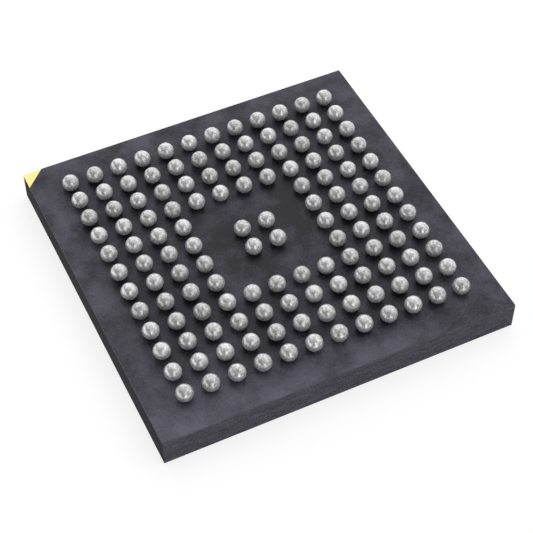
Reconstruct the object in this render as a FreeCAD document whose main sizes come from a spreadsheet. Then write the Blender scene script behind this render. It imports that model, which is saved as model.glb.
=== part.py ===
import FreeCAD, Part

import math
import os

import Sketcher

# A square ball grid array package that lies on its moulded face, with its solder balls up.
# Millimetres. The origin is in the middle of the moulded face. X runs along the lettered rows from A,
# Y runs away from column 12 towards column 1, and Z points up out of the balls.
# Layers from the bottom: moulding compound, die-side mask, laminate core, ball-side mask, balls.

Vector = FreeCAD.Vector

# Name, value and meaning of each size. Everything else follows from these.
SIZES = (
    ("package_width", 6.95, "package along X"),
    ("package_depth", 6.95, "package along Y"),
    ("mould_thickness", 0.40, "moulding compound under the substrate"),
    ("core_thickness", 0.12, "glass and resin laminate"),
    ("copper_thickness", 0.018, "copper foil on either face of the core"),
    ("mask_cover", 0.017, "solder mask over the copper"),
    ("ball_pitch", 0.50, "ball to ball, both ways"),
    ("balls_per_side", 12, "places along each side of the grid"),
    ("ring_depth", 4, "rings of balls, counted from the outside"),
    ("centre_balls", 2, "balls along each side of the middle block"),
    ("ball_diameter", 0.305, "ball at its widest"),
    ("ball_rise", 0.1375, "ball centre above the solder mask"),
    ("opening_diameter", 0.20, "solder mask opening under a ball"),
    ("land_diameter", 0.28, "copper land under a ball"),
    ("via_diameter", 0.10, "copper via through the core"),
    ("mark_leg", 0.37, "bare corner triangle, along either edge"),
    ("dot_diameter", 0.50, "shallow dot in the moulded face, at the same corner"),
    ("dot_depth", 0.02, "depth of that dot"),
    ("dot_inset", 0.60, "dot centre from either edge"),
    ("die_width", 3.4, "silicon die along X"),
    ("die_depth", 3.4, "silicon die along Y"),
    ("die_thickness", 0.15, "silicon die"),
    ("film_thickness", 0.025, "adhesive film between die and substrate"),
    ("finger_width", 0.10, "bond finger, across the wire"),
    ("finger_length", 0.24, "bond finger, along the wire"),
    ("window_margin", 0.02, "mask window past either end of a finger"),
    ("via_pad_diameter", 0.18, "copper round a via on the die side"),
    ("trace_width", 0.05, "trace from a via to its finger"),
    ("wire_diameter", 0.025, "gold bond wire"),
    ("loop_height", 0.09, "bond wire loop off the face of the die"),
    ("loop_flat", 0.12, "level run at the top of the loop"),
    ("bond_ball_diameter", 0.055, "pressed ball where a wire starts"),
    ("bond_ball_height", 0.012, "pressed ball, off the die"),
    ("bond_pad_pitch", 0.16, "wire to wire along an edge of the die"),
    ("bond_pad_inset", 0.10, "bond pads from the edge of the die"),
)

# Row letters skip the ones that are easily misread.
ROW_LETTERS = "abcdefghjklmnprtuvwy"
# Each side leaves its corner to the next one, and the wires stop a place short of the far corner.
UNWIRED_PLACES = 3
SIDES = 4

# Expressions for what several pieces share.
MASK_THICKNESS = "(Sizes.copper_thickness + Sizes.mask_cover)"
CORE_BASE = f"(Sizes.mould_thickness + {MASK_THICKNESS})"
CORE_TOP = f"({CORE_BASE} + Sizes.core_thickness)"
MASK_TOP = f"({CORE_TOP} + {MASK_THICKNESS})"
FINGER_FACE = f"({CORE_BASE} - Sizes.copper_thickness)"
FILM_BASE = "(Sizes.mould_thickness - Sizes.film_thickness)"
DIE_FACE = f"({FILM_BASE} - Sizes.die_thickness)"
FINGER_RING = "((Sizes.balls_per_side / 2 - 1) * Sizes.ball_pitch)"
WIRED_PLACES = f"(Sizes.balls_per_side - {UNWIRED_PLACES})"
FAR_PLACE = "(Sizes.balls_per_side - Sizes.ring_depth)"
INNER_PLACES = "(Sizes.balls_per_side - 2 * Sizes.ring_depth)"
CENTRE_PLACE = "floor((Sizes.balls_per_side - Sizes.centre_balls) / 2)"


def place(index):
    """Where the grid place with this index lies, from the middle of the package."""
    return f"(({index}) - (Sizes.balls_per_side - 1) / 2) * Sizes.ball_pitch"


# The populated places, as blocks: first column, first line, columns, lines.
GRID_BLOCKS = (
    ("0", "0", "Sizes.balls_per_side", "Sizes.ring_depth"),
    ("0", FAR_PLACE, "Sizes.balls_per_side", "Sizes.ring_depth"),
    ("0", "Sizes.ring_depth", "Sizes.ring_depth", INNER_PLACES),
    (FAR_PLACE, "Sizes.ring_depth", "Sizes.ring_depth", INNER_PLACES),
    (CENTRE_PLACE, CENTRE_PLACE, "Sizes.centre_balls", "Sizes.centre_balls"),
)

doc = FreeCAD.newDocument("ball_grid_array_package")


def make_sheet():
    """The spreadsheet that holds the driving sizes."""
    sheet = doc.addObject("Spreadsheet::Sheet", "Sizes")
    for line, (alias, value, meaning) in enumerate(SIZES, start=1):
        sheet.set(f"A{line}", alias)
        sheet.set(f"B{line}", str(value))
        sheet.set(f"C{line}", meaning)
        sheet.setAlias(f"B{line}", alias)
    doc.recompute()
    return sheet


def size(alias):
    """The number that the spreadsheet holds under this alias."""
    return float(doc.getObject("Sizes").get(alias))


def number(expression):
    """What an expression gives."""
    return doc.getObject("Sizes").evalExpression(expression)


def bind(thing, **expressions):
    """Ties properties to expressions."""
    for name, expression in expressions.items():
        thing.setExpression(name, expression)


def new_body(name):
    """An empty body under this name."""
    body = doc.addObject("PartDesign::Body", name)
    body.Label = name
    return body


def origin_item(body, role):
    """One of the body's own origin planes or axes."""
    return next(item for item in body.Origin.OriginFeatures if item.Role == role)


def sketch_at(body, name, x="0", y="0", z="0"):
    """A level sketch whose own origin lies at x, y, z."""
    sketch = body.newObject("Sketcher::SketchObject", name)
    sketch.AttachmentSupport = [(origin_item(body, "XY_Plane"), "")]
    sketch.MapMode = "FlatFace"
    sketch.setExpression("AttachmentOffset.Base.x", x)
    sketch.setExpression("AttachmentOffset.Base.y", y)
    sketch.setExpression("AttachmentOffset.Base.z", z)
    return sketch


def constrain(sketch, kind, *places, value=None, expression=None):
    """Adds a constraint, tied to an expression where it has one."""
    if expression is None:
        sketch.addConstraint(Sketcher.Constraint(kind, *places))
        return
    index = sketch.addConstraint(Sketcher.Constraint(kind, *places, value))
    sketch.setExpression(f"Constraints[{index}]", expression)


def add_loop(sketch, corners):
    """A closed run of straight lines. Gives the index of the first one."""
    first = sketch.GeometryCount
    count = len(corners)
    for start, end in zip(corners, corners[1:] + corners[:1]):
        sketch.addGeometry(Part.LineSegment(start, end), False)
    for index in range(count):
        constrain(sketch, "Coincident", first + index, 2, first + (index + 1) % count, 1)
    return first


def draw_rectangle(sketch, width, depth):
    """A rectangle about the sketch's origin. It is drawn near its size first, and the sizes then set it."""
    half_width = number(width) / 2
    half_depth = number(depth) / 2
    corners = [
        Vector(-half_width, -half_depth, 0),
        Vector(half_width, -half_depth, 0),
        Vector(half_width, half_depth, 0),
        Vector(-half_width, half_depth, 0),
    ]
    front = add_loop(sketch, corners)
    right, back, left = front + 1, front + 2, front + 3
    for line in (front, back):
        constrain(sketch, "Horizontal", line)
    for line in (right, left):
        constrain(sketch, "Vertical", line)
    constrain(sketch, "Symmetric", front, 1, right, 2, -1, 1)
    constrain(sketch, "DistanceX", front, 1, front, 2, value=2 * half_width, expression=width)
    constrain(sketch, "DistanceY", right, 1, right, 2, value=2 * half_depth, expression=depth)


def draw_circle(sketch, diameter):
    """A circle about the sketch's origin."""
    radius = number(diameter) / 2
    sketch.addGeometry(Part.Circle(Vector(0, 0, 0), Vector(0, 0, 1), radius), False)
    constrain(sketch, "Coincident", 0, 3, -1, 1)
    constrain(sketch, "Diameter", 0, value=2 * radius, expression=diameter)


def draw_polygon(sketch, corners):
    """A polygon whose corners are pairs of expressions, from the sketch's origin."""
    drawn = [Vector(number(x), number(y), 0) for x, y in corners]
    first = add_loop(sketch, drawn)
    for index, (x, y) in enumerate(corners):
        line = first + index
        constrain(sketch, "DistanceX", -1, 1, line, 1, value=drawn[index].x, expression=x)
        constrain(sketch, "DistanceY", -1, 1, line, 1, value=drawn[index].y, expression=y)


def pad_up(body, name, sketch, height):
    """Material from the sketch upwards."""
    pad = body.newObject("PartDesign::Pad", name)
    pad.Profile = sketch
    pad.setExpression("Length", height)
    return pad


def pocket_up(body, name, sketch, depth):
    """A pocket from the sketch upwards."""
    pocket = body.newObject("PartDesign::Pocket", name)
    pocket.Profile = sketch
    pocket.Reversed = True
    pocket.setExpression("Length", depth)
    return pocket


def sheet_body(name, base, thickness):
    """A body that starts as a plate with the package's outline."""
    body = new_body(name)
    outline = sketch_at(body, f"{name}_outline", z=base)
    draw_rectangle(outline, "Sizes.package_width", "Sizes.package_depth")
    pad_up(body, f"{name}_plate", outline, thickness)
    return body


def window_ring(body, name, base):
    """A sketch of the square ring round the bond fingers."""
    sketch = sketch_at(body, name, z=base)
    half_band = "(Sizes.finger_length / 2 + Sizes.window_margin)"
    for sign in ("+", "-"):
        side = f"2 * ({FINGER_RING} {sign} {half_band})"
        draw_rectangle(sketch, side, side)
    return sketch


def round_pieces(name, diameter, base, height):
    """A body of separate round pieces, one at each ball."""
    body = new_body(name)
    for block, (column, line, columns, lines) in enumerate(GRID_BLOCKS, start=1):
        circle = sketch_at(body, f"{name}_circle_{block}", place(column), place(line), base)
        draw_circle(circle, diameter)
        piece = pad_up(body, f"{name}_piece_{block}", circle, height)
        pattern = body.newObject("PartDesign::LinearPattern", f"{name}_block_{block}")
        pattern.Originals = [piece]
        pattern.Direction = (origin_item(body, "X_Axis"), [""])
        pattern.Direction2 = (origin_item(body, "Y_Axis"), [""])
        bind(pattern, Length=f"({columns} - 1) * Sizes.ball_pitch", Occurrences=columns)
        bind(pattern, Length2=f"({lines} - 1) * Sizes.ball_pitch", Occurrences2=lines)
        body.Tip = pattern
    return body


def make_substrate_core(posts):
    """The laminate, drilled for the posts."""
    plate = sheet_body("substrate_core_plate", CORE_BASE, "Sizes.core_thickness")
    return cut_from("substrate_core", plate, [posts])


def make_via_posts():
    """Copper posts through the core, one over each land."""
    return round_pieces("via_posts", "Sizes.via_diameter", CORE_BASE, "Sizes.core_thickness")


def make_ball_lands():
    """Round copper lands on the core, one under each ball."""
    return round_pieces("ball_lands", "Sizes.land_diameter", CORE_TOP, "Sizes.copper_thickness")


def mark_corners():
    """The corner triangle at ball A1, in package coordinates."""
    left = "-Sizes.package_width / 2"
    back = "Sizes.package_depth / 2"
    return [(left, back), (left, f"{back} - Sizes.mark_leg"), (f"{left} + Sizes.mark_leg", back)]


def make_ball_side_mask(lands):
    """Solder mask over the lands. Each land lies in a recess, and a narrower opening bares its middle."""
    plate = sheet_body("ball_side_mask_plate", CORE_TOP, MASK_THICKNESS)
    window = sketch_at(plate, "mark_window_outline", z=CORE_TOP)
    draw_polygon(window, mark_corners())
    pocket_up(plate, "mark_window", window, MASK_THICKNESS)
    openings = round_pieces("mask_openings", "Sizes.opening_diameter", CORE_TOP, MASK_THICKNESS)
    return cut_from("ball_side_mask", plate, [lands, openings])


def make_corner_mark():
    """The gold-plated copper triangle that shows where ball A1 is."""
    body = new_body("a1_corner_mark")
    outline = sketch_at(body, "corner_mark_outline", z=CORE_TOP)
    draw_polygon(outline, mark_corners())
    pad_up(body, "corner_mark_copper", outline, "Sizes.copper_thickness")
    return body


def draw_finger(sketch, sign):
    """A round via pad, a trace that leads aside and a finger, as one outline about the via.

    The sign turns the whole outline half way round.
    """
    half_trace = "Sizes.trace_width / 2"
    half_finger = "Sizes.finger_width / 2"
    aside = "Sizes.ball_pitch / 4"
    near = "(Sizes.ball_pitch / 2 - Sizes.finger_length / 2)"
    far = "(Sizes.ball_pitch / 2 + Sizes.finger_length / 2)"
    outline = [
        (f"{aside} + {half_trace}", near),
        (f"{aside} + {half_finger}", near),
        (f"{aside} + {half_finger}", far),
        (f"{aside} - {half_finger}", far),
        (f"{aside} - {half_finger}", near),
        (f"{aside} - {half_trace}", near),
    ]
    corners = [(f"{sign} * ({x})", f"{sign} * ({y})") for x, y in outline]
    drawn = [Vector(number(x), number(y), 0) for x, y in corners]
    radius = number("Sizes.via_pad_diameter / 2")
    lean = math.asin(number(half_trace) / radius)
    turn = 0 if sign > 0 else math.pi
    circle = Part.Circle(Vector(0, 0, 0), Vector(0, 0, 1), radius)
    pad_edge = Part.ArcOfCircle(circle, math.pi / 2 + lean + turn, 5 * math.pi / 2 - lean + turn)
    points = [pad_edge.EndPoint] + drawn + [pad_edge.StartPoint]
    arc = sketch.addGeometry(pad_edge, False)
    for start, end in zip(points, points[1:]):
        sketch.addGeometry(Part.LineSegment(start, end), False)
    last = arc + len(points) - 1
    constrain(sketch, "Coincident", arc, 3, -1, 1)
    constrain(sketch, "Coincident", arc, 2, arc + 1, 1)
    constrain(sketch, "Coincident", last, 2, arc, 1)
    for line in range(arc + 1, last):
        constrain(sketch, "Coincident", line, 2, line + 1, 1)
    constrain(sketch, "Radius", arc, value=radius, expression="Sizes.via_pad_diameter / 2")
    for end, side in ((2, sign), (1, -sign)):
        constrain(sketch, "DistanceX", -1, 1, arc, end, value=side * number(half_trace),
                  expression=f"{side} * {half_trace}")
    for line, (corner, (x, y)) in enumerate(zip(drawn, corners), start=arc + 1):
        constrain(sketch, "DistanceX", -1, 1, line, 2, value=corner.x, expression=x)
        constrain(sketch, "DistanceY", -1, 1, line, 2, value=corner.y, expression=y)


def make_bond_fingers():
    """Gold-plated fingers on the die side, each with a trace to its via.

    The fingers stand midway between the outermost ring of vias and the next. Vias of the two rings
    take turns: one ring feeds a finger a quarter pitch to one side, the other to the other side.
    """
    body = new_body("bond_fingers")
    for ring, index, sign in (("outer", "0", 1), ("inner", "1", -1)):
        sketch = sketch_at(body, f"{ring}_finger_outline", place("1"), place(index), FINGER_FACE)
        draw_finger(sketch, sign)
        finger = pad_up(body, f"{ring}_finger", sketch, "Sizes.copper_thickness")
        repeat_round_sides(body, ring, finger)
    return body


def repeat_round_sides(body, ring, finger):
    """Repeats a finger along one side, then round all four."""
    along = body.newObject("PartDesign::LinearPattern", f"{ring}_along_side")
    along.Direction = (origin_item(body, "X_Axis"), [""])
    along.Mode = "Spacing"
    bind(along, Offset="Sizes.ball_pitch", Occurrences=WIRED_PLACES)
    around = body.newObject("PartDesign::PolarPattern", f"{ring}_round_sides")
    around.Axis = (origin_item(body, "Z_Axis"), [""])
    around.Angle = 360
    around.Occurrences = SIDES
    both = body.newObject("PartDesign::MultiTransform", f"{ring}_fingers")
    both.Originals = [finger]
    both.Transformations = [along, around]
    body.Tip = both


def level_box(name, width, depth, base, height):
    """A plate about the Z axis."""
    box = doc.addObject("Part::Box", name)
    box.Label = name
    bind(box, Length=width, Width=depth, Height=height)
    box.setExpression("Placement.Base.x", f"-{width} / 2")
    box.setExpression("Placement.Base.y", f"-{depth} / 2")
    box.setExpression("Placement.Base.z", base)
    return box


def make_die_plane():
    """The copper plane under the die. It ends midway between two rings of vias."""
    side = "((Sizes.balls_per_side - 4) * Sizes.ball_pitch)"
    return level_box("die_copper_plane", side, side, FINGER_FACE, "Sizes.copper_thickness")


def make_die_film():
    """The adhesive film that holds the die under the substrate."""
    return level_box("die_attach_film", "Sizes.die_width", "Sizes.die_depth", FILM_BASE, "Sizes.film_thickness")


def make_die():
    """The silicon die, with its wired face down."""
    return level_box("silicon_die", "Sizes.die_width", "Sizes.die_depth", DIE_FACE, "Sizes.die_thickness")


def bond_wire(start, finish):
    """One wire: a pressed ball on the die, a rise, a level run and a slope that ends on its finger."""
    radius = size("wire_diameter") / 2
    top = start - Vector(0, 0, size("loop_height"))
    ahead = Vector(finish.x - top.x, finish.y - top.y, 0)
    bend = top + ahead.normalize() * size("loop_flat")
    slope = finish - bend
    past = finish + slope * (2 * radius / slope.z)
    path = Part.makePolygon([start, top, bend, past])
    section = Part.Wire(Part.Circle(start, Vector(0, 0, -1), radius).toShape())
    right_corners = 1
    wire = path.makePipeShell([section], True, False, right_corners)
    pressed_ball = Part.makeCylinder(
        size("bond_ball_diameter") / 2, size("bond_ball_height"), start, Vector(0, 0, -1)
    )
    above = Part.makeBox(slope.Length, slope.Length, slope.Length)
    above.translate(Vector(finish.x - slope.Length / 2, finish.y - slope.Length / 2, finish.z))
    return wire.cut(above).fuse(pressed_ball).removeSplitter()


def make_bond_wires():
    """All bond wires. They fan out from the edges of the die to the fingers."""
    wired = 2 * int(number(WIRED_PLACES))
    first_finger = number(f"{place('1')} - Sizes.ball_pitch / 4")
    wires = []
    for side in range(SIDES):
        die_side = size("die_width") if side % 2 else size("die_depth")
        for index in range(wired):
            start = Vector(
                (index - (wired - 1) / 2) * size("bond_pad_pitch"),
                size("bond_pad_inset") - die_side / 2,
                number(DIE_FACE),
            )
            finish = Vector(
                first_finger + index * size("ball_pitch") / 2,
                -number(FINGER_RING),
                number(FINGER_FACE),
            )
            wire = bond_wire(start, finish)
            wire.rotate(Vector(0, 0, 0), Vector(0, 0, 1), side * 360 / SIDES)
            wires.append(wire)
    feature = doc.addObject("Part::Feature", "bond_wires")
    feature.Label = "bond_wires"
    feature.Shape = Part.makeCompound(wires)
    return feature


def cut_from(name, base, tools):
    """The base with the tools' space left free."""
    space = doc.addObject("Part::Compound", f"{name}_space")
    space.Links = tools
    cut = doc.addObject("Part::Cut", name)
    cut.Label = name
    cut.Base = base
    cut.Tool = space
    return cut


def make_die_side_mask(copper):
    """Solder mask on the die side, with a window that bares the fingers."""
    body = sheet_body("die_side_mask_sheet", "Sizes.mould_thickness", MASK_THICKNESS)
    ring = window_ring(body, "finger_window_outline", "Sizes.mould_thickness")
    pocket_up(body, "finger_window", ring, MASK_THICKNESS)
    return cut_from("die_side_mask", body, copper)


def make_mould_cap(contents):
    """Moulding compound round the die and wires. It also fills the window round the fingers."""
    body = sheet_body("mould_block", "0", "Sizes.mould_thickness")
    ring = window_ring(body, "window_fill_outline", "Sizes.mould_thickness")
    pad_up(body, "window_fill", ring, MASK_THICKNESS)
    corner_x = "Sizes.dot_inset - Sizes.package_width / 2"
    corner_y = "Sizes.package_depth / 2 - Sizes.dot_inset"
    dot = sketch_at(body, "corner_dot_circle", corner_x, corner_y)
    draw_circle(dot, "Sizes.dot_diameter")
    pocket_up(body, "corner_dot", dot, "Sizes.dot_depth")
    return cut_from("mould_cap", body, contents)


def draw_ball_profile(sketch):
    """Half a section of a ball: its foot in the mask opening, then the sphere that surface tension makes."""
    foot = "Sizes.opening_diameter / 2"
    land = f"{CORE_TOP} + Sizes.copper_thickness"
    centre = f"{MASK_TOP} + Sizes.ball_rise"
    radius = number("Sizes.ball_diameter / 2")
    foot_radius = number(foot)
    land_height = number(land)
    centre_height = number(centre)
    neck_angle = -math.acos(foot_radius / radius)
    neck_height = centre_height + radius * math.sin(neck_angle)
    middle = Vector(0, land_height, 0)
    foot_edge = Vector(foot_radius, land_height, 0)
    neck = Vector(foot_radius, neck_height, 0)
    crown = Vector(0, centre_height + radius, 0)
    circle = Part.Circle(Vector(0, centre_height, 0), Vector(0, 0, 1), radius)
    base, side, bulge, axis = range(4)
    sketch.addGeometry(Part.LineSegment(middle, foot_edge), False)
    sketch.addGeometry(Part.LineSegment(foot_edge, neck), False)
    sketch.addGeometry(Part.ArcOfCircle(circle, neck_angle, math.pi / 2), False)
    sketch.addGeometry(Part.LineSegment(crown, middle), False)
    constrain(sketch, "Coincident", base, 2, side, 1)
    constrain(sketch, "Coincident", side, 2, bulge, 1)
    constrain(sketch, "Coincident", bulge, 2, axis, 1)
    constrain(sketch, "Coincident", axis, 2, base, 1)
    constrain(sketch, "Horizontal", base)
    constrain(sketch, "Vertical", side)
    constrain(sketch, "Vertical", axis)
    constrain(sketch, "PointOnObject", base, 1, -2)
    constrain(sketch, "PointOnObject", bulge, 3, -2)
    constrain(sketch, "DistanceX", base, 1, base, 2, value=foot_radius, expression=foot)
    constrain(sketch, "DistanceY", -1, 1, base, 1, value=land_height, expression=land)
    constrain(sketch, "DistanceY", -1, 1, bulge, 3, value=centre_height, expression=centre)
    constrain(sketch, "Radius", bulge, value=radius, expression="Sizes.ball_diameter / 2")


def row_runs(row):
    """The unbroken runs of balls in a row: first place and number of places."""
    count = int(size("balls_per_side"))
    depth = int(size("ring_depth"))
    centre = int(size("centre_balls"))
    first_centre = (count - centre) // 2
    if row < depth or row >= count - depth:
        return [("0", "Sizes.balls_per_side")]
    runs = [("0", "Sizes.ring_depth"), (FAR_PLACE, "Sizes.ring_depth")]
    if first_centre <= row < first_centre + centre:
        runs.append((CENTRE_PLACE, "Sizes.centre_balls"))
    return runs


def make_ball_row(row):
    """One lettered row of solder balls, each a piece of its own."""
    name = f"solder_balls_row_{ROW_LETTERS[row]}"
    body = new_body(name)
    for run, (first, places) in enumerate(row_runs(row), start=1):
        sketch = body.newObject("Sketcher::SketchObject", f"{name}_profile_{run}")
        sketch.AttachmentSupport = [(origin_item(body, "XZ_Plane"), "")]
        sketch.MapMode = "FlatFace"
        # This plane faces -Y, and column 1 is the furthest along +Y.
        sketch.setExpression("AttachmentOffset.Base.x", place(row))
        sketch.setExpression("AttachmentOffset.Base.z", place(first))
        draw_ball_profile(sketch)
        ball = body.newObject("PartDesign::Revolution", f"{name}_ball_{run}")
        ball.Profile = sketch
        ball.ReferenceAxis = (sketch, ["V_Axis"])
        ball.Angle = 360
        pattern = body.newObject("PartDesign::LinearPattern", f"{name}_run_{run}")
        pattern.Originals = [ball]
        pattern.Direction = (origin_item(body, "Y_Axis"), [""])
        pattern.Reversed = True
        pattern.Mode = "Spacing"
        bind(pattern, Offset="Sizes.ball_pitch", Occurrences=places)
        body.Tip = pattern
    return body


def check_document():
    """Stops if anything in the document failed."""
    for thing in doc.Objects:
        if {"Invalid", "Error"} & set(thing.State):
            raise RuntimeError(f"{thing.Name} failed: {thing.State}")


def export(nodes):
    """Writes each sub-part to its own file, after all of them have been tested."""
    for node in nodes:
        shape = node.Shape
        if shape.isNull() or not shape.isValid() or not shape.Solids:
            raise RuntimeError(f"{node.Label} has no valid solid")
    os.makedirs("parts", exist_ok=True)
    for node in nodes:
        node.Shape.exportStep(f"parts/{node.Label}.step")
        volume = sum(solid.Volume for solid in node.Shape.Solids)
        print(f"{node.Label}: {len(node.Shape.Solids)} solids, {volume:.5f} mm3")


def finished(node):
    """The node, worked out."""
    doc.recompute()
    return node


def main():
    """Builds every sub-part, tests the document and writes the files."""
    make_sheet()
    die = finished(make_die())
    film = finished(make_die_film())
    plane = finished(make_die_plane())
    fingers = finished(make_bond_fingers())
    wires = finished(make_bond_wires())
    posts = finished(make_via_posts())
    lands = finished(make_ball_lands())
    nodes = [
        finished(make_mould_cap([die, film, fingers, wires])),
        die,
        film,
        wires,
        fingers,
        plane,
        finished(make_die_side_mask([fingers, plane])),
        finished(make_substrate_core(posts)),
        posts,
        lands,
        finished(make_ball_side_mask(lands)),
        finished(make_corner_mark()),
    ]
    nodes += [finished(make_ball_row(row)) for row in range(int(size("balls_per_side")))]
    check_document()
    export(nodes)


main()
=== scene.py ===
"""The look of a ball grid array chip that lies on its moulded face, with its solder balls up.

Everything is in metres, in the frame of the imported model: the origin is in the middle of the moulded
face, X runs along the lettered rows of balls, Y towards column 1, and Z points up out of the balls.
"""

import logging
import math
from collections.abc import Mapping
from dataclasses import dataclass, field
from enum import Enum
from typing import ClassVar

import bmesh
import bpy
from mathutils import Matrix, Vector


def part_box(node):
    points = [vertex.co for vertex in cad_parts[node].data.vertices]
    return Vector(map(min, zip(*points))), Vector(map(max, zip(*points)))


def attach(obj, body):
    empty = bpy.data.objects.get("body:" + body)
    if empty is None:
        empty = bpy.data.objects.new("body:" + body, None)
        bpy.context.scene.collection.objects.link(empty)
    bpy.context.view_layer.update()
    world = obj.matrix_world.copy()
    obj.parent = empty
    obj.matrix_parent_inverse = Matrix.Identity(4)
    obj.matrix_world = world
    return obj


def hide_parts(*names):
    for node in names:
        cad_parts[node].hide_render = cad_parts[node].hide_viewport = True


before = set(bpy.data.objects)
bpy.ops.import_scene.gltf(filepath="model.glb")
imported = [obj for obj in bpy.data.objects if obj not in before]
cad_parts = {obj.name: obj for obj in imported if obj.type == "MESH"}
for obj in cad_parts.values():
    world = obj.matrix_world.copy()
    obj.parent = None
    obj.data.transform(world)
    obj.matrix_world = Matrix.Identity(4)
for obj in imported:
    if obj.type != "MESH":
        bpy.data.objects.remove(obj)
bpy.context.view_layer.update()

LOG = logging.getLogger("ball_grid_array")
MM = 0.001
BODY = "root"
ROW_LETTERS = "abcdefghjklm"
# Vertices nearer than this are the same one.
MERGE_DISTANCE = 1e-7

Colour = tuple[float, float, float, float]
Input = float | int | bool | tuple | Vector | bpy.types.NodeSocket | bpy.types.Material


class MaskPlace(Enum):
    """Which face of the laminate a coat of solder mask is on."""

    BALL_SIDE = "ball_side_mask"
    DIE_SIDE = "die_side_mask"


def linear_colour(hex_colour: str) -> Colour:
    """Turns an sRGB hex colour into the linear one that shaders take.

    Args:
        hex_colour: Six hex digits, with or without a leading hash.

    Returns:
        Linear red, green, blue and an alpha of 1.
    """
    digits = hex_colour.lstrip("#")
    channels = [int(digits[start:start + 2], 16) / 255 for start in (0, 2, 4)]
    # The sRGB curve: a straight line near black and a power above it.
    red, green, blue = (c / 12.92 if c <= 0.04045 else ((c + 0.055) / 1.055) ** 2.4 for c in channels)
    return (red, green, blue, 1.0)


def pattern_scale(millimetres: float) -> float:
    """The texture scale at which a pattern's features are this large, on coordinates in metres."""
    return 1.0 / (millimetres * MM)


def add_node(
    tree: bpy.types.NodeTree,
    kind: str,
    inputs: Mapping[str | int, Input] | None = None,
    output: str | int = 0,
    **settings: object,
) -> bpy.types.NodeSocket | None:
    """Adds one node with its settings, its constants and its links.

    Args:
        tree: The tree that gets the node.
        kind: The node's type.
        inputs: Sockets by name or number, each with a constant or with the output that feeds it.
        output: Which output to give back.
        settings: Properties of the node.

    Returns:
        That output, or None for a node without outputs.
    """
    node = tree.nodes.new(kind)
    for name, value in settings.items():
        setattr(node, name, value)
    for key, value in (inputs or {}).items():
        if isinstance(value, bpy.types.NodeSocket):
            tree.links.new(value, node.inputs[key])
        else:
            node.inputs[key].default_value = value
    return node.outputs[output] if node.outputs else None


def empty_tree(owner: bpy.types.Material | bpy.types.World) -> bpy.types.NodeTree:
    """The owner's node tree, emptied and ready to be filled."""
    owner.use_nodes = True
    owner.node_tree.nodes.clear()
    return owner.node_tree


def add_square_reach(tree: bpy.types.NodeTree, place: bpy.types.NodeSocket) -> bpy.types.NodeSocket:
    """Measures how far a place is from the middle, along X or along Y, whichever is more.

    Args:
        tree: The tree that gets the nodes.
        place: The place that is measured.

    Returns:
        That distance.
    """
    ways = tree.nodes.new("ShaderNodeSeparateXYZ")
    tree.links.new(place, ways.inputs[0])
    across = add_node(tree, "ShaderNodeMath", {0: ways.outputs["X"]}, operation="ABSOLUTE")
    along = add_node(tree, "ShaderNodeMath", {0: ways.outputs["Y"]}, operation="ABSOLUTE")
    return add_node(tree, "ShaderNodeMath", {0: across, 1: along}, operation="MAXIMUM")


def add_squareness(tree: bpy.types.NodeTree, axis: str) -> bpy.types.NodeSocket:
    """Measures how squarely a face looks along an axis, one way or the other.

    Args:
        tree: The material's tree.
        axis: X, Y or Z.

    Returns:
        A number from 0, for a face that looks past the axis, to 1, for one that looks along it.
    """
    facing = add_node(tree, "ShaderNodeNewGeometry", output="Normal")
    along = add_node(tree, "ShaderNodeSeparateXYZ", {0: facing}, output=axis)
    return add_node(tree, "ShaderNodeMath", {0: along}, operation="ABSOLUTE")


def dress(piece: bpy.types.Object, material: bpy.types.Material) -> None:
    """Gives a piece this material and no other."""
    piece.data.materials.clear()
    piece.data.materials.append(material)


def merged_copy(node: str, name: str) -> bpy.types.Object:
    """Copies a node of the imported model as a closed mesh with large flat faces.

    Args:
        node: The node's name.
        name: The new piece's name.

    Returns:
        The new piece, linked to the scene.
    """
    flat_angle = math.radians(0.5)
    mesh = bpy.data.meshes.new(name)
    form = bmesh.new()
    form.from_mesh(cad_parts[node].data)
    bmesh.ops.remove_doubles(form, verts=form.verts, dist=MERGE_DISTANCE)
    bmesh.ops.dissolve_limit(form, angle_limit=flat_angle, verts=form.verts, edges=form.edges)
    form.to_mesh(mesh)
    form.free()
    piece = bpy.data.objects.new(name, mesh)
    bpy.context.scene.collection.objects.link(piece)
    return piece


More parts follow.
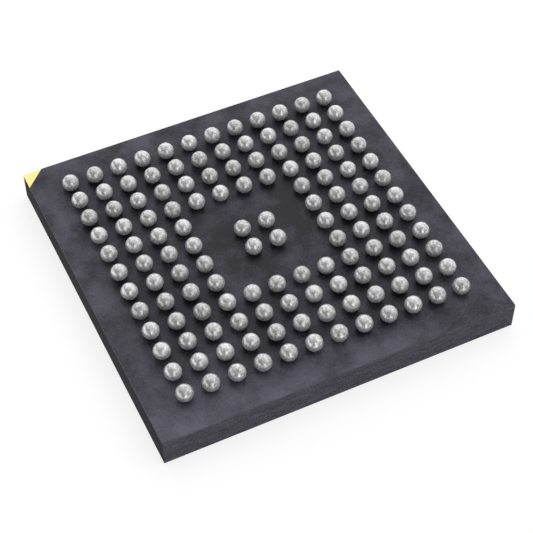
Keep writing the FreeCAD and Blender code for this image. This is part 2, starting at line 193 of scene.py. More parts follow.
@dataclass(frozen=True)
class SolderMaskFinish:
    """Liquid photo-imageable solder mask: black epoxy ink, coated, exposed and cured.

    It cures to a satin skin over the glass cloth, so light shows soft clouds in it, and it keeps
    a fine grain. Its colour also holds painted light: painted shade among the balls and on the sides
    that face X, a painted sheen towards -Y and -X, and a painted highlight on the soft edge.
    """

    name: str = "solder_mask_cured_ink"
    colour: str = "#1A181F"
    # The pale colour: the mask's paler tone in clouds, specks and cut sides, and also its painted sheen and
    # highlight.
    pale_and_sheen_colour: str = "#706D7B"
    roughness: float = 0.34
    sheen: float = 0.41
    sheen_colour: str = "#F2F0FF"
    cloud_mm: float = 0.6
    grain_mm: float = 0.04
    # The field of balls ends here, from the middle; among the balls the mask is painted darker than on the
    # bare rim outside it, as painted shade.
    field_edge_mm: float = 2.95
    rim_fade_mm: float = 0.35
    # A painted sheen lightens the edge towards -Y and -X, this far out from the middle.
    painted_sheen_way: tuple[float, float, float] = (-0.3, -0.95, 0.0)
    painted_sheen_from_mm: float = 2.2
    painted_sheen_to_mm: float = 3.8
    # How much of the pale colour shows among the balls, kept low there as painted shade, and on the rim, and
    # what the painted sheen adds to it.
    shaded_field_share: float = 0.06
    rim_share: float = 0.31
    painted_sheen_share: float = 0.26
    # What a dark cloud takes from that share, what a pale one adds, and what a speck does either way.
    dark_cloud: float = -0.22
    pale_cloud: float = 0.24
    speck: float = 0.12
    # The same share on the cut sides that face Y, and on those that face X, where it is lower as painted
    # shade.
    y_cut_share: float = 0.62
    shaded_x_cut_share: float = 0.14
    # What the painted highlight on the ink's soft edge adds to it, here and there along it.
    edge_highlight_share: float = 0.9

    def make(self) -> bpy.types.Material:
        """Builds the material.

        Returns:
            The solder mask's material.
        """
        material = bpy.data.materials.new(self.name)
        tree = empty_tree(material)
        place = add_node(tree, "ShaderNodeTexCoord", output="Object")
        clouds = add_node(tree, "ShaderNodeTexNoise", {
            "Vector": place, "Scale": pattern_scale(self.cloud_mm), "Detail": 4.0, "Roughness": 0.55,
        })
        grain = add_node(tree, "ShaderNodeTexNoise", {
            "Vector": place, "Scale": pattern_scale(self.grain_mm), "Detail": 2.0, "Roughness": 0.6,
        })
        # Painted shade among the balls: the mask there is darker than on the bare rim.
        rim = add_node(tree, "ShaderNodeMapRange", {
            "Value": add_square_reach(tree, place),
            "From Min": (self.field_edge_mm - self.rim_fade_mm) * MM,
            "From Max": (self.field_edge_mm + self.rim_fade_mm) * MM,
            "To Min": self.shaded_field_share,
            "To Max": self.rim_share,
        }, interpolation_type="SMOOTHSTEP")
        # Painted sheen: the top of the mask grows lighter towards -Y and -X.
        outward = add_node(tree, "ShaderNodeVectorMath", {0: place, 1: self.painted_sheen_way}, "Value",
                           operation="DOT_PRODUCT")
        painted_sheen = add_node(tree, "ShaderNodeMapRange", {
            "Value": outward,
            "From Min": self.painted_sheen_from_mm * MM,
            "From Max": self.painted_sheen_to_mm * MM,
            "To Min": 0.0,
            "To Max": self.painted_sheen_share,
        }, interpolation_type="SMOOTHSTEP")
        cloudy = add_node(tree, "ShaderNodeMapRange", {
            "Value": clouds, "From Min": 0.35, "From Max": 0.65,
            "To Min": self.dark_cloud, "To Max": self.pale_cloud,
        })
        speckle = add_node(tree, "ShaderNodeMapRange", {
            "Value": grain, "From Min": 0.3, "From Max": 0.7, "To Min": -self.speck, "To Max": self.speck,
        })
        tone_and_light_share = add_node(tree, "ShaderNodeMath", {0: rim, 1: cloudy}, operation="ADD")
        tone_and_light_share = add_node(tree, "ShaderNodeMath", {0: tone_and_light_share, 1: painted_sheen}, operation="ADD")
        tone_and_light_share = add_node(tree, "ShaderNodeMath", {0: tone_and_light_share, 1: speckle}, operation="ADD", use_clamp=True)
        # The cut sides are as pale as the laminate's, with painted shade on those that face X, and a painted
        # highlight shows here and there on the soft edge.
        level = add_squareness(tree, "Z")
        # Painted shade: the cut sides that face X get less of the pale colour.
        cut = add_node(tree, "ShaderNodeMapRange", {
            "Value": add_squareness(tree, "X"),
            "To Min": self.y_cut_share,
            "To Max": self.shaded_x_cut_share,
        })
        sloped = add_node(tree, "ShaderNodeMapRange", {
            "Value": level, "From Min": 0.95, "From Max": 0.8, "To Min": 0.0, "To Max": 1.0,
        })
        # Painted highlight: the soft edge is lighter here and there.
        edge_highlight = add_node(tree, "ShaderNodeMapRange", {
            "Value": clouds, "From Min": 0.48, "From Max": 0.62, "To Min": 0.0, "To Max": self.edge_highlight_share,
        })
        highlighted_edge = add_node(tree, "ShaderNodeMath", {0: sloped, 1: edge_highlight}, operation="MULTIPLY")
        tone_and_light_share = add_node(tree, "ShaderNodeMath", {0: tone_and_light_share, 1: highlighted_edge}, operation="ADD", use_clamp=True)
        share = add_node(tree, "ShaderNodeMix", {0: level, 2: cut, 3: tone_and_light_share}, data_type="FLOAT")
        # The pale colour brings the clouds, the specks and the pale cut sides, and also the painted shade,
        # sheen and highlight.
        colour = add_node(tree, "ShaderNodeMix", {
            0: share, 6: linear_colour(self.colour), 7: linear_colour(self.pale_and_sheen_colour),
        }, output=2, data_type="RGBA")
        rough = add_node(tree, "ShaderNodeMapRange", {
            "Value": clouds, "From Min": 0.3, "From Max": 0.7,
            "To Min": self.roughness - 0.06, "To Max": self.roughness + 0.06,
        })
        bump = add_node(tree, "ShaderNodeBump", {
            "Height": grain, "Strength": 0.25, "Distance": 0.002 * MM,
        })
        shader = add_node(tree, "ShaderNodeBsdfPrincipled", {
            "Base Color": colour, "Roughness": rough, "Normal": bump, "IOR": 1.5,
            "Specular IOR Level": self.sheen, "Specular Tint": linear_colour(self.sheen_colour),
        })
        add_node(tree, "ShaderNodeOutputMaterial", {"Surface": shader})
        return material


@dataclass(frozen=True)
class SawnBodyFinish:
    """A dark body that a dicing saw has cut: moulding compound or laminate.

    The blade leaves faint streaks along the cut, and silica or glass shows as fine pale specks.
    """

    name: str
    colour: str
    speck_colour: str
    roughness: float
    # A cut face is full of pits, which swallow most of what a smooth one would mirror.
    sheen: float = 0.15
    # The sides that face X are painted this much darker, as painted shade.
    x_side_painted_shade: float = 0.80
    streak_mm: float = 0.05
    # The streaks' pattern is scaled by this much along the cut, which draws them out.
    streak_along: float = 0.15
    grain_mm: float = 0.03
    # This much of the pattern is grain, and the rest is streaks.
    grain_share: float = 0.6

    def make(self) -> bpy.types.Material:
        """Builds the material.

        Returns:
            The sawn body's material.
        """
        material = bpy.data.materials.new(self.name)
        tree = empty_tree(material)
        place = add_node(tree, "ShaderNodeTexCoord", output="Object")
        # Drawn out along X and Y, so that the streaks run along every cut side.
        drawn_out = add_node(tree, "ShaderNodeMapping", {
            "Vector": place, "Scale": (self.streak_along, self.streak_along, 1.0),
        })
        streaks = add_node(tree, "ShaderNodeTexNoise", {
            "Vector": drawn_out, "Scale": pattern_scale(self.streak_mm), "Detail": 3.0, "Roughness": 0.6,
        })
        grain = add_node(tree, "ShaderNodeTexNoise", {
            "Vector": place, "Scale": pattern_scale(self.grain_mm), "Detail": 2.0, "Roughness": 0.6,
        })
        both = add_node(tree, "ShaderNodeMix", {
            0: self.grain_share, 2: streaks, 3: grain,
        }, data_type="FLOAT")
        share = add_node(tree, "ShaderNodeMapRange", {
            "Value": both, "From Min": 0.40, "From Max": 0.62, "To Min": 0.0, "To Max": 1.0,
        })
        colour = add_node(tree, "ShaderNodeMix", {
            0: share, 6: linear_colour(self.colour), 7: linear_colour(self.speck_colour),
        }, output=2, data_type="RGBA")
        # Painted shade: the sides that face X are darkened towards black.
        x_side_shade = add_node(tree, "ShaderNodeMath", {
            0: add_squareness(tree, "X"), 1: self.x_side_painted_shade,
        }, operation="MULTIPLY")
        colour = add_node(tree, "ShaderNodeMix", {
            0: x_side_shade, 6: colour, 7: linear_colour("#000000"),
        }, output=2, data_type="RGBA")
        bump = add_node(tree, "ShaderNodeBump", {
            "Height": both, "Strength": 0.4, "Distance": 0.004 * MM,
        })
        shader = add_node(tree, "ShaderNodeBsdfPrincipled", {
            "Base Color": colour, "Roughness": self.roughness, "Normal": bump, "IOR": 1.5,
            "Specular IOR Level": self.sheen,
        })
        add_node(tree, "ShaderNodeOutputMaterial", {"Surface": shader})
        return material


@dataclass(frozen=True)
class SolderFinish:
    """Tin, silver and copper solder, reflowed and left to freeze.

    Surface tension makes it round and bright, and its crystals leave a blotchy satin skin that
    differs from ball to ball.
    """

    name: str = "tin_silver_copper_solder_reflowed"
    colour: str = "#FBFBFE"
    dull_colour: str = "#B7B6B3"
    metal_share: float = 0.42
    roughness: float = 0.10
    crystal_mm: float = 0.036
    grain_mm: float = 0.014
    # How much of the dull colour the crystals bring, and what a whole ball's tone takes away or adds.
    crystal_share: float = 0.85
    brightest_ball: float = -0.15
    dullest_ball: float = 0.3

    def make(self) -> bpy.types.Material:
        """Builds the material.

        Returns:
            The solder's material.
        """
        material = bpy.data.materials.new(self.name)
        tree = empty_tree(material)
        place = add_node(tree, "ShaderNodeTexCoord", output="Object")
        tone = add_node(tree, "ShaderNodeAttribute", output="Fac", attribute_name=SolderBalls.TONE)
        crystals = add_node(tree, "ShaderNodeTexNoise", {
            "Vector": place, "Scale": pattern_scale(self.crystal_mm), "Detail": 3.0, "Roughness": 0.6,
            "Distortion": 0.4,
        })
        grain = add_node(tree, "ShaderNodeTexNoise", {
            "Vector": place, "Scale": pattern_scale(self.grain_mm), "Detail": 1.0,
        })
        blotch = add_node(tree, "ShaderNodeMapRange", {
            "Value": crystals, "From Min": 0.40, "From Max": 0.64,
            "To Min": 0.0, "To Max": self.crystal_share,
        })
        spread = add_node(tree, "ShaderNodeMapRange", {
            "Value": tone, "To Min": self.brightest_ball, "To Max": self.dullest_ball,
        })
        share = add_node(tree, "ShaderNodeMath", {0: blotch, 1: spread}, operation="ADD", use_clamp=True)
        colour = add_node(tree, "ShaderNodeMix", {
            0: share, 6: linear_colour(self.colour), 7: linear_colour(self.dull_colour),
        }, output=2, data_type="RGBA")
        rough = add_node(tree, "ShaderNodeMapRange", {
            "Value": crystals, "From Min": 0.35, "From Max": 0.7,
            "To Min": self.roughness - 0.03, "To Max": self.roughness + 0.08,
        })
        ripple = add_node(tree, "ShaderNodeBump", {
            "Height": crystals, "Strength": 0.55, "Distance": 0.008 * MM,
        })
        fine = add_node(tree, "ShaderNodeBump", {
            "Height": grain, "Normal": ripple, "Strength": 0.25, "Distance": 0.002 * MM,
        })
        shader = add_node(tree, "ShaderNodeBsdfPrincipled", {
            "Base Color": colour, "Metallic": self.metal_share, "Roughness": rough, "Normal": fine,
        })
        add_node(tree, "ShaderNodeOutputMaterial", {"Surface": shader})
        return material


@dataclass(frozen=True)
class MetalFinish:
    """Plated, rolled or drawn metal with a fine grain in its tone and its gloss."""

    name: str
    colour: str
    shade_colour: str
    roughness: float
    grain_mm: float

    def make(self) -> bpy.types.Material:
        """Builds the material.

        Returns:
            The metal's material.
        """
        material = bpy.data.materials.new(self.name)
        tree = empty_tree(material)
        place = add_node(tree, "ShaderNodeTexCoord", output="Object")
        grain = add_node(tree, "ShaderNodeTexNoise", {
            "Vector": place, "Scale": pattern_scale(self.grain_mm), "Detail": 3.0, "Roughness": 0.6,
        })
        colour = add_node(tree, "ShaderNodeMix", {
            0: grain, 6: linear_colour(self.colour), 7: linear_colour(self.shade_colour),
        }, output=2, data_type="RGBA")
        rough = add_node(tree, "ShaderNodeMapRange", {
            "Value": grain, "From Min": 0.3, "From Max": 0.7,
            "To Min": self.roughness - 0.05, "To Max": self.roughness + 0.05,
        })
        bump = add_node(tree, "ShaderNodeBump", {
            "Height": grain, "Strength": 0.2, "Distance": 0.002 * MM,
        })
        shader = add_node(tree, "ShaderNodeBsdfPrincipled", {
            "Base Color": colour, "Metallic": 1.0, "Roughness": rough, "Normal": bump,
        })
        add_node(tree, "ShaderNodeOutputMaterial", {"Surface": shader})
        return material


@dataclass(frozen=True)
class PlainFinish:
    """A hard or filled solid that is not a metal, such as silicon or an adhesive film."""

    name: str
    colour: str
    shade_colour: str
    roughness: float
    ior: float
    grain_mm: float

    def make(self) -> bpy.types.Material:
        """Builds the material.

        Returns:
            The solid's material.
        """
        material = bpy.data.materials.new(self.name)
        tree = empty_tree(material)
        place = add_node(tree, "ShaderNodeTexCoord", output="Object")
        grain = add_node(tree, "ShaderNodeTexNoise", {
            "Vector": place, "Scale": pattern_scale(self.grain_mm), "Detail": 2.0,
        })
        colour = add_node(tree, "ShaderNodeMix", {
            0: grain, 6: linear_colour(self.colour), 7: linear_colour(self.shade_colour),
        }, output=2, data_type="RGBA")
        shader = add_node(tree, "ShaderNodeBsdfPrincipled", {
            "Base Color": colour, "Roughness": self.roughness, "IOR": self.ior,
        })
        add_node(tree, "ShaderNodeOutputMaterial", {"Surface": shader})
        return material


# Gold over nickel on copper foil: pale yellow, with the nickel's fine satin grain.
GOLD_PLATING = MetalFinish("gold_plating_on_nickel", "#FFF4AE", "#F9E58E", 0.34, 0.03)
# Drawn gold wire: a deeper yellow and brighter.
GOLD_WIRE = MetalFinish("gold_wire_drawn", "#E8B95A", "#D9A548", 0.25, 0.01)
# Etched copper foil under the mask: salmon, with a dull micro-etched skin.
COPPER_FOIL = MetalFinish("copper_foil_etched", "#C9805C", "#B26B49", 0.45, 0.02)
# Polished silicon: dark blue grey and glossy.
SILICON = PlainFinish("silicon_polished", "#4A4D58", "#3F424C", 0.12, 3.5, 0.2)
# Silver-filled or plain epoxy film, laminated on: pale and dull.
ADHESIVE_FILM = PlainFinish("epoxy_film_laminated", "#8C877E", "#7B766E", 0.6, 1.5, 0.05)
# Silica-filled epoxy moulding compound.
MOULDING_COMPOUND = SawnBodyFinish("epoxy_moulding_compound_sawn", "#514F56", "#7A7784", 0.8)
# Glass cloth in dark resin, sawn: it looks like the compound beside it.
LAMINATE = SawnBodyFinish("dark_glass_laminate_sawn", "#525057", "#7B7885", 0.8)
# The die-side mask, which shows only where the saw went through it.
SAWN_MASK = SawnBodyFinish("solder_mask_sawn", "#504E55", "#797683", 0.8)


def node_tree_with_inputs(name: str, sockets: Mapping[str, str]) -> bpy.types.NodeTree:
    """Starts a Geometry Nodes tree with named inputs and one geometry output.

    Args:
        name: The tree's name.
        sockets: Each input's name and socket type.

    Returns:
        The tree, which holds no nodes yet.
    """
    tree = bpy.data.node_groups.new(name, "GeometryNodeTree")
    for label, kind in sockets.items():
        tree.interface.new_socket(label, in_out="INPUT", socket_type=kind)
    tree.interface.new_socket("Geometry", in_out="OUTPUT", socket_type="NodeSocketGeometry")
    return tree


def mesh_from_tree(
    name: str, tree: bpy.types.NodeTree, values: Mapping[str, Input]
) -> bpy.types.Object:
    """Runs a Geometry Nodes tree once and keeps its result as a plain mesh.

    Args:
        name: The new piece's name.
        tree: The tree to run.
        values: A value for each named input.

    Returns:
        The new piece, linked to the scene, with no modifier left on it.
    """
    host = bpy.data.objects.new(f"{name}_host", bpy.data.meshes.new(f"{name}_host"))
    bpy.context.scene.collection.objects.link(host)
    modifier = host.modifiers.new("build", "NODES")
    modifier.node_group = tree
    for item in tree.interface.items_tree:
        if item.item_type == "SOCKET" and item.in_out == "INPUT":
            modifier[item.identifier] = values[item.name]
    depsgraph = bpy.context.evaluated_depsgraph_get()
    mesh = bpy.data.meshes.new_from_object(host.evaluated_get(depsgraph), depsgraph=depsgraph)
    host.modifiers.clear()
    bpy.data.objects.remove(host)
    # A primitive brings an empty material slot, which nothing uses once the tree has set its own.
    mesh.materials.pop(index=0)
    mesh.name = name
    piece = bpy.data.objects.new(name, mesh)
    bpy.context.scene.collection.objects.link(piece)
    return piece


@dataclass
class SolderBalls:
    """The grid of solder balls, each with its foot in an opening of the mask.

    The places are filled in rings from the outside, then a square block in the middle.
    """

    TONE: ClassVar[str] = "ball_tone"

    pitch: float = 0.50 * MM
    places: int = 12
    ring_depth: int = 4
    middle_places: int = 2
    foot_radius: float = 0.10 * MM
    land_depth: float = 0.017 * MM
    # Molten solder sags a little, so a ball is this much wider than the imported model's round one.
    sag: float = 1.086
    segments: int = 24
    rings: int = 14
    # The narrowest ball's width, as a share of the widest one's.
    narrowest: float = 0.985
    seed: int = 7
    finish: SolderFinish = field(default_factory=SolderFinish)

    def nodes(self) -> list[str]:
        """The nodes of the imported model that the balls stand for."""
        return [f"solder_balls_row_{letter}" for letter in ROW_LETTERS]

    def tree(self) -> bpy.types.NodeTree:
        """Builds the tree that lays out the balls.

        Returns:
            A tree that ends in realised, smooth and dressed balls.
        """
        tree = node_tree_with_inputs("solder_ball_grid", {
            "Pitch": "NodeSocketFloat",
            "Places": "NodeSocketInt",
            "Ring Depth": "NodeSocketInt",
            "Middle Places": "NodeSocketInt",
            "Ball Radius": "NodeSocketFloat",
            "Half Height": "NodeSocketFloat",
            "Centre Height": "NodeSocketFloat",
            "Foot Radius": "NodeSocketFloat",
            "Land Height": "NodeSocketFloat",
            "Segments": "NodeSocketInt",
            "Rings": "NodeSocketInt",
            "Narrowest": "NodeSocketFloat",
            "Seed": "NodeSocketInt",
            "Solder": "NodeSocketMaterial",
        })
        sizes = tree.nodes.new("NodeGroupInput").outputs
        ball = self.add_ball(tree, sizes)
        points, populated = self.add_places(tree, sizes)
        # Balls differ a little in width but not in height, and none is turned like its neighbour.
        width = add_node(tree, "FunctionNodeRandomValue", {
            "Min": sizes["Narrowest"], "Max": 1.0, "Seed": sizes["Seed"],
        }, output="Value", data_type="FLOAT")
        scale = add_node(tree, "ShaderNodeCombineXYZ", {"X": width, "Y": width, "Z": 1.0})
        turn = add_node(tree, "FunctionNodeRandomValue", {
            "Min": 0.0, "Max": math.tau, "Seed": sizes["Seed"],
        }, output="Value", data_type="FLOAT")
        turned = add_node(tree, "ShaderNodeCombineXYZ", {"Z": turn})
        balls = add_node(tree, "GeometryNodeInstanceOnPoints", {
            "Points": points, "Selection": populated, "Instance": ball, "Rotation": turned, "Scale": scale,
        })
        tone = add_node(tree, "FunctionNodeRandomValue", {
            "Min": 0.0, "Max": 1.0, "Seed": sizes["Seed"],
        }, output="Value", data_type="FLOAT")
        toned = add_node(tree, "GeometryNodeStoreNamedAttribute", {
            "Geometry": balls, "Name": self.TONE, "Value": tone,
        }, data_type="FLOAT", domain="INSTANCE")
        real = add_node(tree, "GeometryNodeRealizeInstances", {"Geometry": toned})
        smooth = add_node(tree, "GeometryNodeSetShadeSmooth", {"Geometry": real})
        dressed = add_node(tree, "GeometryNodeSetMaterial", {
            "Geometry": smooth, "Material": sizes["Solder"],
        })
        add_node(tree, "NodeGroupOutput", {"Geometry": dressed})
        return tree

    def add_places(
        self, tree: bpy.types.NodeTree, sizes: bpy.types.bpy_prop_collection
    ) -> tuple[bpy.types.NodeSocket, bpy.types.NodeSocket]:
        """Adds the grid of places and the test for the ones that have a ball.

        Args:
            tree: The tree that gets the nodes.
            sizes: The tree's inputs.

        Returns:
            The places, and whether each has a ball.
        """
        steps = add_node(tree, "ShaderNodeMath", {0: sizes["Places"], 1: 1.0}, operation="SUBTRACT")
        side = add_node(tree, "ShaderNodeMath", {0: steps, 1: sizes["Pitch"]}, operation="MULTIPLY")
        grid = add_node(tree, "GeometryNodeMeshGrid", {
            "Size X": side, "Size Y": side, "Vertices X": sizes["Places"], "Vertices Y": sizes["Places"],
        })
        reach = add_square_reach(tree, add_node(tree, "GeometryNodeInputPosition"))
        half = add_node(tree, "ShaderNodeMath", {0: sizes["Places"], 1: 0.5}, operation="MULTIPLY")
        bare = add_node(tree, "ShaderNodeMath", {0: half, 1: sizes["Ring Depth"]}, operation="SUBTRACT")
        bare_reach = add_node(tree, "ShaderNodeMath", {0: bare, 1: sizes["Pitch"]}, operation="MULTIPLY")
        in_rings = add_node(tree, "ShaderNodeMath", {0: reach, 1: bare_reach}, operation="GREATER_THAN")
        middle = add_node(tree, "ShaderNodeMath", {0: sizes["Middle Places"], 1: 0.5}, operation="MULTIPLY")
        middle_reach = add_node(tree, "ShaderNodeMath", {0: middle, 1: sizes["Pitch"]}, operation="MULTIPLY")
        in_middle = add_node(tree, "ShaderNodeMath", {0: reach, 1: middle_reach}, operation="LESS_THAN")
        populated = add_node(tree, "ShaderNodeMath", {0: in_rings, 1: in_middle}, operation="ADD")
        return grid, populated

    def add_ball(
        self, tree: bpy.types.NodeTree, sizes: bpy.types.bpy_prop_collection
    ) -> bpy.types.NodeSocket:
        """Adds one ball: a grid bent round the sphere, down its foot and shut on the land.

        Args:
            tree: The tree that gets the nodes.
            sizes: The tree's inputs.

        Returns:
            The ball's geometry.
        """
        columns = add_node(tree, "ShaderNodeMath", {0: sizes["Segments"], 1: 1.0}, operation="ADD")
        lines = add_node(tree, "ShaderNodeMath", {0: sizes["Rings"], 1: 1.0}, operation="ADD")
        grid = add_node(tree, "GeometryNodeMeshGrid", {
            "Size X": 1.0, "Size Y": 1.0, "Vertices X": columns, "Vertices Y": lines,
        })
        place = add_node(tree, "GeometryNodeInputPosition")
        ways = tree.nodes.new("ShaderNodeSeparateXYZ")
        tree.links.new(place, ways.inputs[0])
        angle = add_node(tree, "ShaderNodeMath", {0: ways.outputs["X"], 1: math.tau}, operation="MULTIPLY")
        down = add_node(tree, "ShaderNodeMath", {0: 0.5, 1: ways.outputs["Y"]}, operation="SUBTRACT")
        ring = add_node(tree, "ShaderNodeMath", {0: down, 1: sizes["Rings"]}, operation="MULTIPLY")
        # The last ring shuts the ball, the one before it is the foot, and the rest lie on the sphere.
        round_rings = add_node(tree, "ShaderNodeMath", {0: sizes["Rings"], 1: 2.0}, operation="SUBTRACT")
        share = add_node(tree, "ShaderNodeMath", {
            0: ring, 1: round_rings,
        }, operation="DIVIDE", use_clamp=True)
        past = add_node(tree, "ShaderNodeMath", {0: ring, 1: round_rings}, operation="SUBTRACT")
        sunk = add_node(tree, "ShaderNodeMath", {0: past, 1: 0.0}, operation="ADD", use_clamp=True)
        shut = add_node(tree, "ShaderNodeMath", {0: past, 1: 1.0}, operation="SUBTRACT", use_clamp=True)
        open_share = add_node(tree, "ShaderNodeMath", {0: 1.0, 1: shut}, operation="SUBTRACT")
        slender = add_node(tree, "ShaderNodeMath", {
            0: sizes["Foot Radius"], 1: sizes["Ball Radius"],
        }, operation="DIVIDE")
        neck = add_node(tree, "ShaderNodeMath", {0: slender}, operation="ARCSINE")
        last = add_node(tree, "ShaderNodeMath", {0: math.pi, 1: neck}, operation="SUBTRACT")
        polar = add_node(tree, "ShaderNodeMath", {0: share, 1: last}, operation="MULTIPLY")
        outward = add_node(tree, "ShaderNodeMath", {0: polar}, operation="SINE")
        upward = add_node(tree, "ShaderNodeMath", {0: polar}, operation="COSINE")
        wide = add_node(tree, "ShaderNodeMath", {0: outward, 1: sizes["Ball Radius"]}, operation="MULTIPLY")
        radius = add_node(tree, "ShaderNodeMath", {0: wide, 1: open_share}, operation="MULTIPLY")
        rise = add_node(tree, "ShaderNodeMath", {
            0: upward, 1: sizes["Half Height"], 2: sizes["Centre Height"],
        }, operation="MULTIPLY_ADD")
        height = add_node(tree, "ShaderNodeMix", {
            0: sunk, 2: rise, 3: sizes["Land Height"],
        }, data_type="FLOAT")
        cosine = add_node(tree, "ShaderNodeMath", {0: angle}, operation="COSINE")
        sine = add_node(tree, "ShaderNodeMath", {0: angle}, operation="SINE")
        x = add_node(tree, "ShaderNodeMath", {0: cosine, 1: radius}, operation="MULTIPLY")
        y = add_node(tree, "ShaderNodeMath", {0: sine, 1: radius}, operation="MULTIPLY")
        bent = add_node(tree, "ShaderNodeCombineXYZ", {"X": x, "Y": y, "Z": height})
        shaped = add_node(tree, "GeometryNodeSetPosition", {"Geometry": grid, "Position": bent})
        return add_node(tree, "GeometryNodeMergeByDistance", {
            "Geometry": shaped, "Distance": MERGE_DISTANCE,
        })

    def build(self) -> bpy.types.Object:
        """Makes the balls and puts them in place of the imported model's rows.

        Returns:
            The balls as one piece.
        """
        foot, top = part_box(self.nodes()[0])
        radius = self.sag * (top.x - foot.x) / 2
        # The foot fills its opening up to the top of the mask, and the ball swells out from there.
        mask_top = foot.z + self.land_depth
        swell = math.sqrt(1 - (self.foot_radius / radius) ** 2)
        half_height = (top.z - mask_top) / (1 + swell)
        balls = mesh_from_tree("solder_balls", self.tree(), {
            "Pitch": self.pitch,
            "Places": self.places,
            "Ring Depth": self.ring_depth,
            "Middle Places": self.middle_places,
            "Ball Radius": radius,
            "Half Height": half_height,
            "Centre Height": top.z - half_height,
            "Foot Radius": self.foot_radius,
            "Land Height": foot.z,
            "Segments": self.segments,
            "Rings": self.rings,
            "Narrowest": self.narrowest,
            "Seed": self.seed,
            "Solder": self.finish.make(),
        })
        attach(balls, BODY)
        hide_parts(*self.nodes())
        return balls


@dataclass
class Substrate:
    """The laminate with its coats of solder mask, its copper and the bare corner mark."""

    edge_width: float = 0.012 * MM
    edge_segments: int = 2
    # Only an edge that turns by more than this gets soft.
    edge_angle: float = math.radians(60)
    mask: SolderMaskFinish = field(default_factory=SolderMaskFinish)

    def build(self) -> list[bpy.types.Object]:
        """Makes the mask's sheet and dresses the substrate's nodes.

        Returns:
            The substrate's pieces.
        """
        mask = self.mask.make()
        copper = COPPER_FOIL.make()
        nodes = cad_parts
        dress(nodes["substrate_core"], LAMINATE.make())
        dress(nodes[MaskPlace.DIE_SIDE.value], SAWN_MASK.make())
        dress(nodes["a1_corner_mark"], GOLD_PLATING.make())
        copper_nodes = ("ball_lands", "via_posts", "die_copper_plane", "bond_fingers")
        for name in copper_nodes:
            dress(nodes[name], copper)
        kept = ("substrate_core", MaskPlace.DIE_SIDE.value, "a1_corner_mark", *copper_nodes)
        return [self.ball_side_sheet(mask)] + [nodes[name] for name in kept]

    def ball_side_sheet(self, mask: bpy.types.Material) -> bpy.types.Object:
        """Makes the mask that the balls stand in, with the soft edges that cured ink has.

        Args:
            mask: The solder mask's material.

        Returns:
            The sheet as one piece.
        """
        sheet = merged_copy(MaskPlace.BALL_SIDE.value, "ball_side_mask_sheet")
        edges = sheet.modifiers.new("soft_edges", "BEVEL")
        edges.width = self.edge_width
        edges.segments = self.edge_segments
        edges.limit_method = "ANGLE"
        edges.angle_limit = self.edge_angle
        edges.use_clamp_overlap = False
        depsgraph = bpy.context.evaluated_depsgraph_get()
        mesh = bpy.data.meshes.new_from_object(sheet.evaluated_get(depsgraph), depsgraph=depsgraph)
        sheet.modifiers.clear()
        sheet.data = mesh
        # A bevel throws a point a hair past a sharp corner, so each one is brought back into the box.
        low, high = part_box(MaskPlace.BALL_SIDE.value)
        for vertex in mesh.vertices:
            vertex.co = [min(max(at, least), most) for at, least, most in zip(vertex.co, low, high)]
        dress(sheet, mask)
        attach(sheet, BODY)
        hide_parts(MaskPlace.BALL_SIDE.value)
        return sheet


@dataclass
class MouldedBody:
    """The moulding compound, with the die, its film and its wires inside."""

    compound: SawnBodyFinish = MOULDING_COMPOUND
    die: PlainFinish = SILICON
    film: PlainFinish = ADHESIVE_FILM
    wires: MetalFinish = GOLD_WIRE

    def build(self) -> list[bpy.types.Object]:
        """Dresses the moulded body's nodes.

        Returns:
            The moulded body's pieces.
        """
        finishes = {
            "mould_cap": self.compound,
            "silicon_die": self.die,
            "die_attach_film": self.film,
            "bond_wires": self.wires,
        }
        for name, finish in finishes.items():
            dress(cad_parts[name], finish.make())
        return [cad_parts[name] for name in finishes]


@dataclass(frozen=True)
class LightPanel:
    """A soft panel of light in the studio, seen from the chip.

    Azimuth counts from the camera, positive to its right, and all angles are in degrees.
    """

    name: str
    azimuth: float
    elevation: float
    width: float
    height: float
    strength: float

    def axes(self, camera_azimuth: float) -> tuple[Vector, Vector, Vector]:
        """The directions to the panel, along its width and along its height.

        Args:
            camera_azimuth: The camera's own azimuth.

        Returns:
            Three unit vectors.
        """
        turn = math.radians(camera_azimuth + self.azimuth)
        lift = math.radians(self.elevation)
        towards = Vector((math.sin(turn) * math.cos(lift), -math.cos(turn) * math.cos(lift), math.sin(lift)))
        across = Vector((math.cos(turn), math.sin(turn), 0.0))
        return towards, across, across.cross(towards)


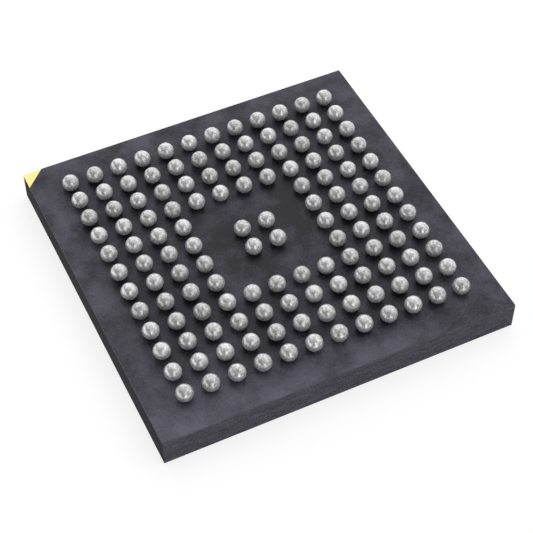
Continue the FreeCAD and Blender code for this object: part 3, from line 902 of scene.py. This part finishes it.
@dataclass
class Studio:
    """The white sweep, the soft light and the camera."""

    # The camera that shows the chip's corners and balls where the photograph has them.
    camera_place: Vector = field(default_factory=lambda: Vector((-7.893, -16.799, 21.7515)) * MM)
    camera_aim: Vector = field(default_factory=lambda: Vector((-0.2038, -0.7009, 0.59)) * MM)
    camera_roll: float = -0.0018
    camera_azimuth: float = -25.5
    lens_mm: float = 100.9
    sensor_mm: float = 36.0
    clip_start: float = 0.001
    clip_end: float = 1.0
    floor_size: float = 0.4
    # A hair under the chip, so that the two faces never coincide.
    floor_gap: float = 0.002 * MM
    paper_colour: str = "#A6A6A6"
    paper_fibre_colour: str = "#A9A9A9"
    paper_fibre_mm: float = 2.0
    # What the paper adds to its own shade where it is seen, which makes it white.
    paper_glow: float = 0.75
    # The light that comes from everywhere, and the share of a panel's half width that its edge fades over.
    room_light: float = 0.07
    panel_fade: float = 0.12
    # Azimuth, elevation, width, height and strength.
    panels: tuple[LightPanel, ...] = (
        LightPanel("back_wall", 172, 34, 90, 76, 0.86),
        LightPanel("back_glow", -176, 20, 56, 36, 0.50),
        LightPanel("overhead", 180, 82, 64, 50, 0.46),
        LightPanel("left_box", -82, 5, 88, 40, 1.25),
        LightPanel("right_box", 62, 38, 86, 34, 0.76),
        LightPanel("right_low_box", 108, 6, 44, 28, 0.55),
        LightPanel("front_strip", 23, 22, 15, 74, 0.70),
        LightPanel("front_low_strip", 23, 4, 20, 26, 2.20),
    )

    def build(self) -> None:
        """Makes the floor, the light and the camera."""
        scene = bpy.context.scene
        scene.view_settings.view_transform = "Standard"
        self.floor()
        self.light()
        scene.camera = self.camera()

    def camera(self) -> bpy.types.Object:
        """Makes the camera.

        Returns:
            The camera, which looks at the chip as the photograph does.
        """
        data = bpy.data.cameras.new("camera")
        data.lens = self.lens_mm
        data.sensor_width = self.sensor_mm
        data.clip_start = self.clip_start
        data.clip_end = self.clip_end
        camera = bpy.data.objects.new("camera", data)
        look = (self.camera_aim - self.camera_place).normalized()
        turned = look.to_track_quat("-Z", "Y").to_matrix().to_4x4()
        camera.matrix_world = (
            Matrix.Translation(self.camera_place) @ turned @ Matrix.Rotation(self.camera_roll, 4, "Z")
        )
        bpy.context.scene.collection.objects.link(camera)
        return camera

    def floor(self) -> bpy.types.Object:
        """Makes the white floor, which still takes the chip's shadow.

        Returns:
            The floor.
        """
        mesh = bpy.data.meshes.new("floor")
        half = self.floor_size / 2
        corners = [(-half, -half, 0), (half, -half, 0), (half, half, 0), (-half, half, 0)]
        mesh.from_pydata(corners, [], [(0, 1, 2, 3)])
        floor = bpy.data.objects.new("floor", mesh)
        mesh.transform(Matrix.Translation((0, 0, -self.floor_gap)))
        bpy.context.scene.collection.objects.link(floor)
        material = bpy.data.materials.new("white_paper_sweep")
        tree = empty_tree(material)
        place = add_node(tree, "ShaderNodeTexCoord", output="Object")
        fibre = add_node(tree, "ShaderNodeTexNoise", {
            "Vector": place, "Scale": pattern_scale(self.paper_fibre_mm),
        })
        colour = add_node(tree, "ShaderNodeMix", {
            0: fibre, 6: linear_colour(self.paper_colour), 7: linear_colour(self.paper_fibre_colour),
        }, output=2, data_type="RGBA")
        path = tree.nodes.new("ShaderNodeLightPath").outputs
        seen = add_node(tree, "ShaderNodeMath", {
            0: path["Is Camera Ray"], 1: path["Is Glossy Ray"],
        }, operation="MAXIMUM")
        seen = add_node(tree, "ShaderNodeMath", {
            0: seen, 1: path["Is Transmission Ray"],
        }, operation="MAXIMUM")
        glow = add_node(tree, "ShaderNodeMath", {0: seen, 1: self.paper_glow}, operation="MULTIPLY")
        paper = add_node(tree, "ShaderNodeBsdfDiffuse", {"Color": colour})
        white = add_node(tree, "ShaderNodeEmission", {"Strength": glow})
        both = add_node(tree, "ShaderNodeAddShader", {0: paper, 1: white})
        add_node(tree, "ShaderNodeOutputMaterial", {"Surface": both})
        dress(floor, material)
        return floor

    def light(self) -> None:
        """Makes the soft light: an even room with panels in it, and white behind the chip."""
        world = bpy.data.worlds.new("soft_studio")
        bpy.context.scene.world = world
        tree = empty_tree(world)
        direction = add_node(tree, "ShaderNodeTexCoord", output="Generated")
        total: bpy.types.NodeSocket | float = self.room_light
        for panel in self.panels:
            total = self.add_panel(tree, direction, total, panel)
        path = tree.nodes.new("ShaderNodeLightPath").outputs
        strength = add_node(tree, "ShaderNodeMix", {
            0: path["Is Camera Ray"], 2: total, 3: 1.0,
        }, data_type="FLOAT")
        sky = add_node(tree, "ShaderNodeBackground", {
            "Color": linear_colour("#FFFFFF"), "Strength": strength,
        })
        add_node(tree, "ShaderNodeOutputWorld", {"Surface": sky})

    def add_panel(
        self,
        tree: bpy.types.NodeTree,
        direction: bpy.types.NodeSocket,
        total: bpy.types.NodeSocket | float,
        panel: LightPanel,
    ) -> bpy.types.NodeSocket:
        """Adds one panel's light to what the room already gives.

        Args:
            tree: The world's tree.
            direction: The direction that is looked in.
            total: The light so far.
            panel: The panel to add.

        Returns:
            The light with this panel in it.
        """
        towards, across, upright = panel.axes(self.camera_azimuth)
        facing = add_node(tree, "ShaderNodeVectorMath", {0: direction, 1: towards}, "Value",
                          operation="DOT_PRODUCT")
        share = add_node(tree, "ShaderNodeMath", {0: facing, 1: 0.0}, operation="GREATER_THAN")
        for axis, angle in ((across, panel.width), (upright, panel.height)):
            edge = math.sin(math.radians(angle) / 2)
            offset = add_node(tree, "ShaderNodeVectorMath", {0: direction, 1: axis}, "Value",
                              operation="DOT_PRODUCT")
            distance = add_node(tree, "ShaderNodeMath", {0: offset}, operation="ABSOLUTE")
            inside = add_node(tree, "ShaderNodeMapRange", {
                "Value": distance,
                "From Min": edge * (1 + self.panel_fade),
                "From Max": edge * (1 - self.panel_fade),
                "To Min": 0.0,
                "To Max": 1.0,
            }, interpolation_type="SMOOTHSTEP")
            share = add_node(tree, "ShaderNodeMath", {0: share, 1: inside}, operation="MULTIPLY")
        return add_node(tree, "ShaderNodeMath", {
            0: share, 1: panel.strength, 2: total,
        }, operation="MULTIPLY_ADD")


def main() -> None:
    """Builds and dresses the chip, then the studio round it."""
    logging.basicConfig(level=logging.INFO, format="%(name)s: %(message)s")
    Studio().build()
    pieces = [*MouldedBody().build(), *Substrate().build(), SolderBalls().build()]
    for piece in pieces:
        LOG.info("%s: %d faces, %s", piece.name, len(piece.data.polygons), piece.data.materials[0].name)


if __name__ == "__main__":
    main()
